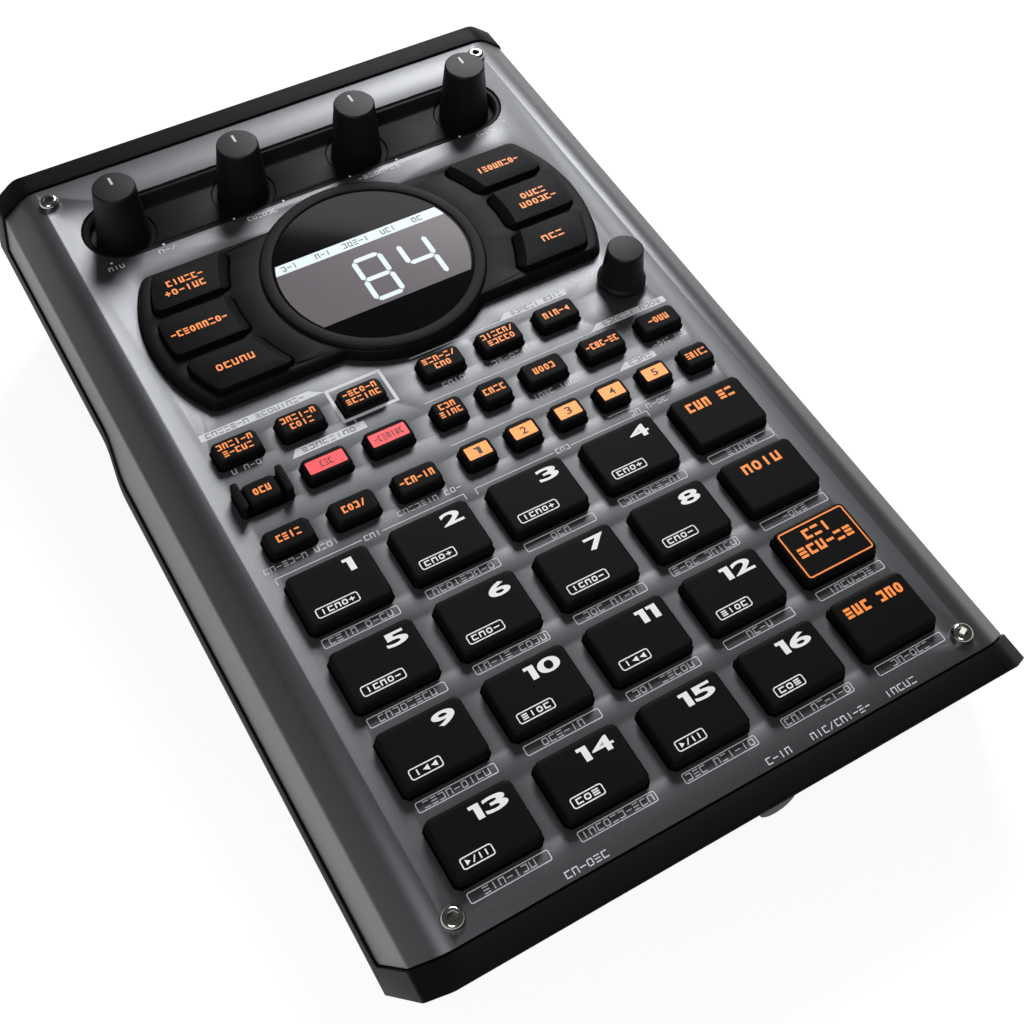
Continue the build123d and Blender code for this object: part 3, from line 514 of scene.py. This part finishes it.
captions = [
    ("u n-o", -61.3, 146.1, 1.6, 8.6), ("[n|o", 0.4, 145.5, 1.6, 7.2), ("]z-o=|[", 19.1, 145.7, 1.6, 13.1),
    ("|nz[ |o[u", 24.1, 129.7, 1.6, 15.0), ("-o|= z[u", 61.8, 129.7, 1.6, 11.2),
    ("[n-z]-n u=o|", -60.8, 114.2, 1.6, 21.0), ("[n=]z|n [o-", -24.4, 113.7, 1.6, 19.0),
    ("]n n-o[", 43.1, 112.4, 1.6, 12.4), ("[n|", -42.3, 111.2, 1.6, 4.9), ("[n]", 14.7, 111.2, 1.6, 4.5),
    ("n|u", -64.7, 227.9, 1.5, 5.0), ("n-/", -49.1, 227.9, 1.5, 5.6), ("[u=o][", -19.1, 227.9, 1.6, 9.6),
    ("-z=on-[z", 19.8, 227.9, 1.6, 14.6), ("|-|=u", 57.6, 227.9, 1.6, 7.6),
    ("[n-oz[", -40.4, 10.3, 1.8, 11.6),
    ("[-|n", 13.0, 10.3, 1.8, 7.4), ("n|[/[n|-z-", 31.4, 10.3, 1.8, 18.0), ("|n[u=", 49.8, 10.3, 1.8, 9.6),
    ("[un=", 52.6, 161.4, 1.6, 6.6),
]
for signs, x, y, size, width in captions:
    print_ink.legend(signs, x, y, size, width, 0.15)
print_ink.piece("plate_print", "case", "plate_metal", [pale_ink])
tab_ink = Ink(0.04)
for signs, x, y, width in [
    ("[n==z-n z[ou|n=-", -52.5, 160.0, 29.0), ("z]n[=|no", -38.5, 143.8, 16.0),
    ("z]n[=| z]|=", 34.9, 159.2, 17.0),
    ("z]n[=| n]oz", 57.4, 143.3, 20.0), ("[]n=", 50.2, 127.4, 7.6),
]:
    tab_ink.legend(signs, x, y, 1.45, width, 0.17)
tab_ink.piece("tab_print", "case", "plate_metal", [dark_ink])

# ------------------------------------------------------------------ pads
# Sixteen moulded silicone pads in a four by four block. The cap has drafted sides and a soft edge, and
# the number and a boxed sign are printed on top in white.


def cap(mesh, x, y, width, depth, height, corner, edge):
    """A rubber key cap in millimetres: drafted sides, a rounded top edge and a flat top."""
    draft = 0.035
    foot = -1.5
    levels = [(0.0, foot), (draft * height * 0.5, height * 0.5)]
    steps = 5
    for step in range(steps + 1):
        angle = math.pi / 2 * step / steps
        inset = draft * height + edge * (1 - math.cos(angle))
        levels.append((inset, height - edge + edge * math.sin(angle)))
    levels.append((draft * height + edge + 0.6, height))
    levels.append((min(width, depth) * 0.36, height))
    rings = []
    for inset, z in levels:
        outline = rounded_outline(x, y, width - 2 * inset, depth - 2 * inset, max(corner - inset, 0.4))
        rings.append([mesh.verts.new((px, py, z)) for px, py in outline])
    for below, above in zip(rings, rings[1:]):
        for i in range(len(below)):
            j = (i + 1) % len(below)
            face = mesh.faces.new((below[i], below[j], above[j], above[i]))
            face.smooth = True
    for ring in (rings[-1], rings[0][::-1]):
        mesh.faces.new(ring).smooth = True


key_rubber = Finish("key_rubber", Base_Color=(0.0035, 0.0035, 0.0038), Specular_IOR_Level=0.06)
key_rubber.set(Roughness=0.46 + 0.14 * key_rubber.noise(1800.0, 2.0))
key_rubber.relief(key_rubber.noise(3600.0, 3.0, 0.6), 0.00002, 0.4)
white_ink = Finish("white_ink", Base_Color=(0.86, 0.86, 0.86), Roughness=0.5)
white_ink.set(Roughness=0.45 + 0.1 * white_ink.noise(2500.0))
pad_size = (22.8, 16.9, 3.6)
digit_width = 5.9
digit_height = 3.9
one_width = 2.7
pill_signs = {
    "rise": ("|[no+", 11.6), "fall": ("|[no-", 11.6), "quick": ("[no+", 10.1), "slow": ("[no-", 10.1),
    "match": ("z|o[", 9.9), "back": ("|<<", 8.4), "listen": ("[oz", 8.6), "play": (">/||", 8.2),
}
pill_order = [
    "rise", "quick", "rise", "quick", "fall", "slow", "fall", "slow",
    "back", "match", "back", "match", "play", "listen", "play", "listen",
]
for row, y in enumerate(pad_rows):
    for column, x in enumerate(pad_columns[:4]):
        number = row * 4 + column + 1
        node = f"pad_{number:02d}"
        pad = Ink(pad_size[2])
        cap(pad.mesh, x, y, *pad_size, 2.0, 0.9)
        right = x + (8.4 if number > 1 else 6.4)
        for figure in reversed(str(number)):
            width = one_width if figure == "1" else digit_width
            pad.digit(figure, right, y + 4.3, width, digit_height, 0.026, slot=1)
            right -= width + 0.6
        signs, width = pill_signs[pill_order[number - 1]]
        middle = x - 8.4 + width / 2
        pad.frame(middle, y - 4.8, width, 2.95, 0.3, 0.75, slot=1)
        pad.legend(signs, middle, y - 4.8, 1.5, width - 2.0, 0.24, slot=1)
        piece = pad.piece(node + "_cap", node, "key_rubber", [key_rubber, white_ink])
        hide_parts(node)

# ------------------------------------------------------------------ function pads
# Four more pads of the same moulding down the right-hand side, printed in orange.
glowing_orange_ink = Finish("glowing_orange_ink", Base_Color=(0.92, 0.25, 0.035), Roughness=0.5)
# The orange ink is given a faint glow of its own, painted light that brightens the print.
glowing_orange_ink.set(Roughness=0.45 + 0.1 * glowing_orange_ink.noise(2500.0), Emission_Color=(0.92, 0.25, 0.035))
glowing_orange_ink.set(Emission_Strength=0.25)
function_signs = [[("[un z=", 15.6)], [("no|u", 12.6)], [("[=|", 8.6), ("z[u-=z", 17.4)], [("zu[ ]no", 18.2)]]
for row, y in enumerate(pad_rows):
    x = pad_columns[4]
    node = f"function_pad_{row + 1}"
    pad = Ink(pad_size[2])
    cap(pad.mesh, x, y, *pad_size, 2.0, 0.9)
    for line, (signs, width) in enumerate(function_signs[row]):
        pad.legend(signs, x, y + 4.1 - 4.2 * line, 3.0, width, 0.25, slot=1)
    if row == 2:
        pad.frame(x, y, 20.6, 14.6, 0.4, 0.9, slot=1)
    piece = pad.piece(node + "_cap", node, "key_rubber", [key_rubber, glowing_orange_ink])
    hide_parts(node)

# ------------------------------------------------------------------ small keys
# Twenty-three silicone keys in three rows. Most carry an orange legend. The record pair and the bank
# keys have a translucent window that is lit from below.
red_window = Finish("red_window", Base_Color=(0.80, 0.045, 0.055), Roughness=0.4)
red_window.set(Emission_Color=(0.90, 0.05, 0.06), Emission_Strength=0.45)
red_window.set(Roughness=0.35 + 0.1 * red_window.noise(1800.0))
orange_window = Finish("orange_window", Base_Color=(0.90, 0.27, 0.04), Roughness=0.4)
orange_window.set(Emission_Color=(0.95, 0.27, 0.04), Emission_Strength=0.5)
orange_window.set(Roughness=0.35 + 0.1 * orange_window.noise(1800.0))
black_ink = Finish("black_ink", Base_Color=(0.012, 0.012, 0.012), Roughness=0.5)
black_ink.set(Roughness=0.45 + 0.1 * black_ink.noise(2500.0))
key_depth = 7.6
key_height = 3.2
key_rows = {"rear": 151.29, "middle": 135.44, "front": 119.59}
wide, narrow = 13.0, 9.2
small_keys = {
    "sequencer_keys": ("rear", [
        (-61.5, wide, ["]n=|-n", "z-[u="]), (-43.2, wide, ["]n=|-n", "[o|="]),
        (-24.9, wide, ["-z[o-n", "z[=|n["]),
    ]),
    "edit_keys": ("rear", [
        (-0.5, wide, ["z=n-=/", "[no"]), (18.1, wide, ["]|=[n/", "z][[o"]), (36.7, wide, ["n|n-<"]),
    ]),
    "delete_key": ("middle", [(-61.5, 9.8, ["o[u"])]),
    "record_key": ("middle", [(-43.2, wide, ["[z["])]),
    "resample_key": ("middle", [(-24.9, wide, ["-[zn|o["])]),
    "mode_keys": ("middle", [
        (-6.6, narrow, ["[]n", "z|n["]), (7.4, narrow, ["[n=["]), (23.2, wide, ["uoo]"]),
        (42.15, wide, ["-[u[-z["]), (61.1, wide, ["-ouu"]),
    ]),
    "utility_keys": ("front", [(-61.5, wide, ["[z|="]), (-43.2, wide, ["[o]/"]), (-24.9, wide, ["-[n-|n"])]),
    "bank_keys": ("front", [(-6.6 + 14.0 * place, narrow, str(place + 1)) for place in range(5)]),
    "shift_key": ("front", [(63.4, narrow, ["zn|[="])]),
}
windows = {"record_key": red_window, "resample_key": red_window, "bank_keys": orange_window}
slots = {"record_key": "record_rubber", "resample_key": "record_rubber", "bank_keys": "bank_rubber"}
for node, (row, keys) in small_keys.items():
    y = key_rows[row]
    made = Ink(key_height)
    for x, width, signs in keys:
        cap(made.mesh, x, y, width, key_depth, key_height, 1.8, 0.95)
        if node in windows:
            made.shape(rounded_outline(x, y, width - 2.3, 4.1, 0.35), slot=2)
            made.level += 0.05
            if node == "bank_keys":
                made.digit(signs, x + 0.9, y, 1.8, 2.4, 0.02, slot=3)
            else:
                made.legend(signs[0], x, y, 2.0, 1.25 * len(signs[0]), 0.17, slot=3)
            made.level -= 0.05
        else:
            for line, row_signs in enumerate(signs):
                middle = y + (0.1 if len(signs) == 1 else 1.45 - 2.6 * line)
                height = 2.15 if len(signs) == 1 else 1.9
                length = min(1.72 * len(row_signs), width - 2.4)
                made.legend(row_signs, x, middle, height, length, 0.22, slot=1)
    window = windows.get(node, orange_window)
    finishes = [key_rubber, glowing_orange_ink, window, black_ink]
    piece = made.piece(node + "_caps", node, slots.get(node, "key_rubber"), finishes)
    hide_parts(node)

# ------------------------------------------------------------------ effects bezel and keys
# A black moulding stands on the plate round the display and holds six keys in close wells. The keys are
# smooth plastic with a bevel towards the display, and an orange legend on each flat top.
bezel_plastic = Finish("bezel_plastic", Base_Color=(0.0055, 0.0055, 0.006), Specular_IOR_Level=0.06)
bezel_plastic.set(Roughness=0.42 + 0.12 * bezel_plastic.noise(1200.0, 2.0))
bezel_plastic.relief(bezel_plastic.noise(3200.0, 3.0, 0.6), 0.00002, 0.4)
coat("fx_bezel", bezel_plastic, 0.0005)
effects_row = 192.59
effects_key_top = 4.8
effects_legends = [
    [("[|u=[-", -50.5, 18.2, 11.2), ("+o-|u[", -51.7, 14.8, 12.4)], [("-[zonn=o-", -53.9, 0.0, 17.0)],
    [("o[unu", -50.4, -16.3, 11.6)], [("|zoun=o-", 51.0, 16.9, 14.2)],
    [("ou[=", 54.3, 1.7, 8.6), ("uoo][-", 54.3, -1.7, 12.6)], [("n[=", 50.5, -16.3, 7.6)],
]
for number, rows in enumerate(effects_legends, 1):
    node = f"fx_key_{number}"
    coat(node, key_rubber, 0.0006, sharp=25.0)
    made = Ink(effects_key_top)
    for signs, x, y, width in rows:
        made.legend(signs, x, effects_row + y, 2.25, width, 0.22)
    made.piece(node + "_legend", node, "bezel_plastic", [glowing_orange_ink])

# ------------------------------------------------------------------ display
# A broad black ring holds a round smoked window. Behind it, across the middle, a grey liquid crystal
# shows a pale status strip and two large digits.
coat("display_ring", bezel_plastic, 0.0004)
lens_gloss = Finish("lens_gloss", Base_Color=(0.0045, 0.0045, 0.005), Specular_IOR_Level=0.02)
lens_gloss.set(Roughness=0.05 + 0.03 * lens_gloss.noise(60.0))
coat("display_lens", lens_gloss)
lcd_grey = Finish("lcd_grey", Base_Color=(0.10, 0.090, 0.098), Roughness=0.12, Specular_IOR_Level=0.05)
# The grey glow of the crystal is painted lighter towards the right, a painted sheen on the window.
lcd_painted_sheen = lcd_grey.here("X") * 9.0 + 0.5 + 0.12 * lcd_grey.noise(30.0)
lcd_grey.set(Emission_Color=lcd_grey.blend(lcd_painted_sheen, (0.075, 0.068, 0.075), (0.17, 0.155, 0.165)))
lcd_grey.set(Emission_Strength=0.55)
lcd_white = Finish("lcd_white", Base_Color=(0.62, 0.70, 0.73), Specular_IOR_Level=0.05)
lcd_white.set(Emission_Color=(0.72, 0.80, 0.82), Emission_Strength=0.35)
lcd_white.set(Roughness=0.16 + 0.05 * lcd_white.noise(200.0))
lens_radius = 28.2
window_top = 11.15
window_bottom = -15.7
strip_depth = 3.65
lens_top = 3.4


def chord(y):
    return math.sqrt(lens_radius ** 2 - y ** 2)


def slice_outline(bottom, top, steps=12):
    """The part of the round window between two heights."""
    right = [(bottom + (top - bottom) * i / steps) for i in range(steps + 1)]
    points = [(chord(y), effects_row + y) for y in right]
    return points + [(-chord(y), effects_row + y) for y in reversed(right)]


picture = Ink(lens_top)
picture.shape(slice_outline(window_bottom, window_top - strip_depth))
picture.level += 0.05
picture.shape(slice_outline(window_top - strip_depth, window_top), slot=1)
figure_height = 16.1
figure_width = 8.2
segment = 1.55
figures_low = effects_row - 13.6


def lit_segments(left, segments):
    """A seven-segment figure: a to g as on any such display."""
    right, top = left + figure_width, figures_low + figure_height
    middle = (figures_low + top) / 2
    half = segment / 2
    gap = 0.2
    lines = {
        "a": ((left, top), (right, top)), "d": ((left, figures_low), (right, figures_low)),
        "g": ((left, middle), (right, middle)), "f": ((left, middle), (left, top)),
        "b": ((right, middle), (right, top)), "e": ((left, figures_low), (left, middle)),
        "c": ((right, figures_low), (right, middle)),
    }
    for name in segments:
        (x0, y0), (x1, y1) = lines[name]
        if y0 == y1:
            x0, x1 = x0 + gap, x1 - gap
            points = [(x0, y0), (x0 + half, y0 - half), (x1 - half, y0 - half), (x1, y0),
                      (x1 - half, y0 + half), (x0 + half, y0 + half)]
        else:
            y0, y1 = y0 + gap, y1 - gap
            points = [(x0, y0), (x0 + half, y0 + half), (x0 + half, y1 - half), (x0, y1),
                      (x0 - half, y1 - half), (x0 - half, y0 + half)]
        picture.shape(points, slot=1)


lit_segments(-5.5, "abcdefg")
lit_segments(8.9, "bcfg")
picture.level += 0.05
strip_y = effects_row + window_top - strip_depth / 2
for signs, x, width in [
    ("]-|", -22.3, 5.2), ("n-|", -11.7, 5.0), ("]oz-|", -1.2, 8.7), ("u[|", 9.4, 5.0), ("o[", 19.0, 3.6),
]:
    picture.legend(signs, x, strip_y, 1.9, width, 0.15, slot=2)
picture.piece("display_picture", "case", "lcd_glass", [lcd_grey, lcd_white, dark_ink])
coat("display_module", lcd_grey)

# ------------------------------------------------------------------ knob trough and control knobs
# A sunken black trough with a bowl round each potentiometer. The knobs are tall tapered caps of satin
# plastic pushed onto the shafts, each with a short pale pointer on its flat top.
coat("knob_trough", bezel_plastic, 0.0003)
knob_plastic = Finish("knob_plastic", Base_Color=(0.0045, 0.0045, 0.005), Specular_IOR_Level=0.2)
knob_plastic.set(Roughness=0.44 + 0.12 * knob_plastic.noise(1500.0, 2.0))
knob_plastic.relief(knob_plastic.noise(3200.0, 2.0, 0.6), 0.00002, 0.4)
pointer_ink = Finish("pointer_ink", Base_Color=(0.55, 0.55, 0.55), Roughness=0.5)
pointer_ink.set(Roughness=0.45 + 0.1 * pointer_ink.noise(2500.0))
knob_top = 16.975
pointer_reach, pointer_width, pointer_length = 2.4, 0.7, 3.0
for number in range(1, 5):
    node = f"control_knob_{number}"
    coat(node, knob_plastic, 0.0005)
    pointer = Ink(knob_top)
    pointer.bar((number - 2.5) * pot_pitch, knob_row + pointer_reach, pointer_width, pointer_length)
    pointer.piece(node + "_pointer", node, "knob_plastic", [pointer_ink])

# ------------------------------------------------------------------ value knob
# A smaller cap with a round skirt on the encoder shaft. It turns without stops and pushes down.
coat("value_knob", knob_plastic, 0.0005)
steel = Finish("steel", Base_Color=(0.40, 0.39, 0.37), Metallic=1.0)
steel.set(Roughness=0.12 + 0.08 * steel.noise(700.0, 2.0))
coat("encoder_plunger", steel)

# ------------------------------------------------------------------ panel screws
# Four nickel-plated button-head screws with a hexagon socket clamp the faceplate to the case. The head
# is turned, with a domed top and a broached socket.
head_radius = 2.95
head_height = 2.0
rim_height = 0.5
socket_apothem = 1.15
socket_depth = 1.6
shank_radius = 1.5
screw_length = 8.0
head_steps = 48


def round_ring(radius, z):
    return [
        (radius * math.cos(2 * math.pi * i / head_steps), radius * math.sin(2 * math.pi * i / head_steps), z)
        for i in range(head_steps)
    ]


def hexagon_ring(apothem, z):
    """As many points as a round ring has, along a hexagon."""
    ring = []
    for i in range(head_steps):
        turn = 2 * math.pi * i / head_steps
        reach = apothem / math.cos(turn % (math.pi / 3) - math.pi / 6)
        ring.append((reach * math.cos(turn), reach * math.sin(turn), z))
    return ring


dome_radius = 1.75
rings = [round_ring(shank_radius, -screw_length), round_ring(shank_radius, 0), round_ring(head_radius, 0)]
for step in range(7):
    angle = math.pi / 2 * step / 6
    rings.append(round_ring(
        dome_radius + (head_radius - dome_radius) * math.cos(angle),
        rim_height + (head_height - rim_height) * math.sin(angle),
    ))
rings.append(hexagon_ring(socket_apothem + 0.12, head_height))
rings.append(hexagon_ring(socket_apothem, head_height - 0.15))
rings.append(hexagon_ring(socket_apothem, head_height - socket_depth))
head = bmesh.new()
corners = [[head.verts.new(point) for point in ring] for ring in rings]
for below, above in zip(corners, corners[1:]):
    for i in range(head_steps):
        j = (i + 1) % head_steps
        head.faces.new((below[i], below[j], above[j], above[i])).smooth = True
head.faces.new(corners[0][::-1])
head.faces.new(corners[-1])
screw_x = 72.45
screw_front, screw_rear = 14.2, 260.99
screws = repeated(
    "screws", "case", steel, head, 2, 2, 2 * screw_x, screw_rear - screw_front,
    (0, (screw_front + screw_rear) / 2, 0),
)
creases = screws.modifiers.new("creases", "EDGE_SPLIT")
creases.split_angle = math.radians(35.0)
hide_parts("panel_screws")

# ------------------------------------------------------------------ boards and sockets
# Green circuit boards carry the switches and sockets. The sockets are black plastic, with nickel
# bushings and nuts outside the rear wall.
mask = Finish("solder_mask", Base_Color=(0.012, 0.10, 0.045), Coat_Weight=0.4)
mask.set(Roughness=0.30 + 0.15 * mask.noise(400.0))
coat("main_board", mask)
rear_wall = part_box("bottom_case")[1].y - 0.0004
rear_board_top = 0.0197
sockets = Finish("rear_sockets", Specular_IOR_Level=0.5)
outside = sockets.here("Y") > rear_wall
board = sockets.here("Z") < rear_board_top
nickel = outside * (sockets.here("X") < 0.004)
sockets.set(Metallic=nickel)
black_or_green = sockets.blend(board, (0.014, 0.014, 0.015), (0.012, 0.10, 0.045))
sockets.set(Base_Color=sockets.blend(nickel, black_or_green, (0.62, 0.61, 0.58)))
sockets.set(Roughness=0.40 - 0.14 * nickel + 0.08 * sockets.noise(900.0))
coat("rear_jack_board", sockets, 0.00015)
front_sockets = Finish("front_sockets", Specular_IOR_Level=0.5)
front_board = front_sockets.here("Z") < 0.0131
front_sockets.set(Base_Color=front_sockets.blend(front_board, (0.012, 0.012, 0.013), (0.012, 0.10, 0.045)))
front_sockets.set(Roughness=0.38 + 0.1 * front_sockets.noise(900.0))
coat("front_jack_board", front_sockets, 0.00015)
coat("gain_knob", knob_plastic, 0.0004)
coat("power_switch", knob_plastic, 0.0002)
coat("input_switch", knob_plastic, 0.0002)
coat("battery_contacts", steel)

# ------------------------------------------------------------------ key mat and feet
# A silicone switch mat lies on the main board under the keys, and four rubber feet stand under the tub.
foot_rubber = Finish("foot_rubber", Base_Color=(0.012, 0.012, 0.012), Specular_IOR_Level=0.35)
foot_rubber.set(Roughness=0.70 + 0.15 * foot_rubber.noise(1500.0))
foot_rubber.relief(foot_rubber.noise(2500.0, 2.0), 0.00004, 0.6)
coat("key_mat", foot_rubber)
coat("rubber_feet", foot_rubber, 0.0005)

# ------------------------------------------------------------------ studio
# A pale floor and two large soft lamps, a key lamp in front and one at the rear right that the metal
# mirrors. The floor and the low sky show white, also in metal and glass, and the floor keeps the shadow.
floor_mesh = bpy.data.meshes.new("floor")
floor_shape = bmesh.new()
bmesh.ops.create_grid(floor_shape, x_segments=1, y_segments=1, size=6.0)
floor_shape.to_mesh(floor_mesh)
floor_shape.free()
floor = bpy.data.objects.new("floor", floor_mesh)
bpy.context.scene.collection.objects.link(floor)
floor_paint = bpy.data.materials.new("floor_paint")
floor_paint.use_nodes = True
tree = floor_paint.node_tree
tree.nodes["Principled BSDF"].inputs["Base Color"].default_value = (0.86, 0.86, 0.86, 1)
tree.nodes["Principled BSDF"].inputs["Roughness"].default_value = 0.9
glow = tree.nodes.new("ShaderNodeEmission")
glow.inputs["Strength"].default_value = 1.2


def seen_rays(tree, share):
    """share for a ray from the camera, from metal or from glass, and nothing for the others."""
    path = tree.nodes.new("ShaderNodeLightPath")
    either = tree.nodes.new("ShaderNodeMath")
    either.operation = "MAXIMUM"
    tree.links.new(path.outputs["Is Camera Ray"], either.inputs[0])
    tree.links.new(path.outputs["Is Glossy Ray"], either.inputs[1])
    whole = tree.nodes.new("ShaderNodeMath")
    whole.operation = "MAXIMUM"
    tree.links.new(either.outputs[0], whole.inputs[0])
    tree.links.new(path.outputs["Is Transmission Ray"], whole.inputs[1])
    product = tree.nodes.new("ShaderNodeMath")
    product.operation = "MULTIPLY"
    product.inputs[1].default_value = share
    tree.links.new(whole.outputs[0], product.inputs[0])
    return product


floor_white = 0.72
share = seen_rays(tree, floor_white)
mixer = tree.nodes.new("ShaderNodeMixShader")
tree.links.new(share.outputs[0], mixer.inputs[0])
tree.links.new(tree.nodes["Principled BSDF"].outputs[0], mixer.inputs[1])
tree.links.new(glow.outputs[0], mixer.inputs[2])
tree.links.new(mixer.outputs[0], tree.nodes["Material Output"].inputs["Surface"])
floor_mesh.materials.append(floor_paint)

world = bpy.data.worlds.new("studio")
bpy.context.scene.world = world
world.use_nodes = True
sky = world.node_tree
sky.nodes["Background"].inputs["Color"].default_value = (1, 1, 1, 1)
sky.nodes["Background"].inputs["Strength"].default_value = 0.09
backdrop = sky.nodes.new("ShaderNodeBackground")
backdrop.inputs["Color"].default_value = (1, 1, 1, 1)
direction = sky.nodes.new("ShaderNodeTexCoord")
parts = sky.nodes.new("ShaderNodeSeparateXYZ")
low_band = sky.nodes.new("ShaderNodeMath")
low_band.operation = "LESS_THAN"
low_band.inputs[1].default_value = 0.15
shown = sky.nodes.new("ShaderNodeMath")
shown.operation = "MULTIPLY"
either = sky.nodes.new("ShaderNodeMixShader")
sky.links.new(direction.outputs["Generated"], parts.inputs[0])
sky.links.new(parts.outputs["Z"], low_band.inputs[0])
sky.links.new(seen_rays(sky, 1.0).outputs[0], shown.inputs[0])
sky.links.new(low_band.outputs[0], shown.inputs[1])
sky.links.new(shown.outputs[0], either.inputs[0])
sky.links.new(sky.nodes["Background"].outputs[0], either.inputs[1])
sky.links.new(backdrop.outputs[0], either.inputs[2])
sky.links.new(either.outputs[0], sky.nodes["World Output"].inputs["Surface"])


def lamp(name, place, aim, size, power):
    """A square soft box at place that faces aim."""
    data = bpy.data.lights.new(name, "AREA")
    data.size = size
    data.energy = power
    made = bpy.data.objects.new(name, data)
    bpy.context.scene.collection.objects.link(made)
    made.location = place
    direction = Vector(aim) - Vector(place)
    made.rotation_mode = "QUATERNION"
    made.rotation_quaternion = direction.to_track_quat("-Z", "Y")


lamp("key_softbox", (-0.55, -0.75, 1.10), (0, 0, 0.03), 0.7, 9.0)
lamp("rear_softbox", (0.60, 0.90, 0.90), (0, 0.03, 0.04), 0.50, 17.0)
bpy.context.scene.view_settings.view_transform = "Standard"
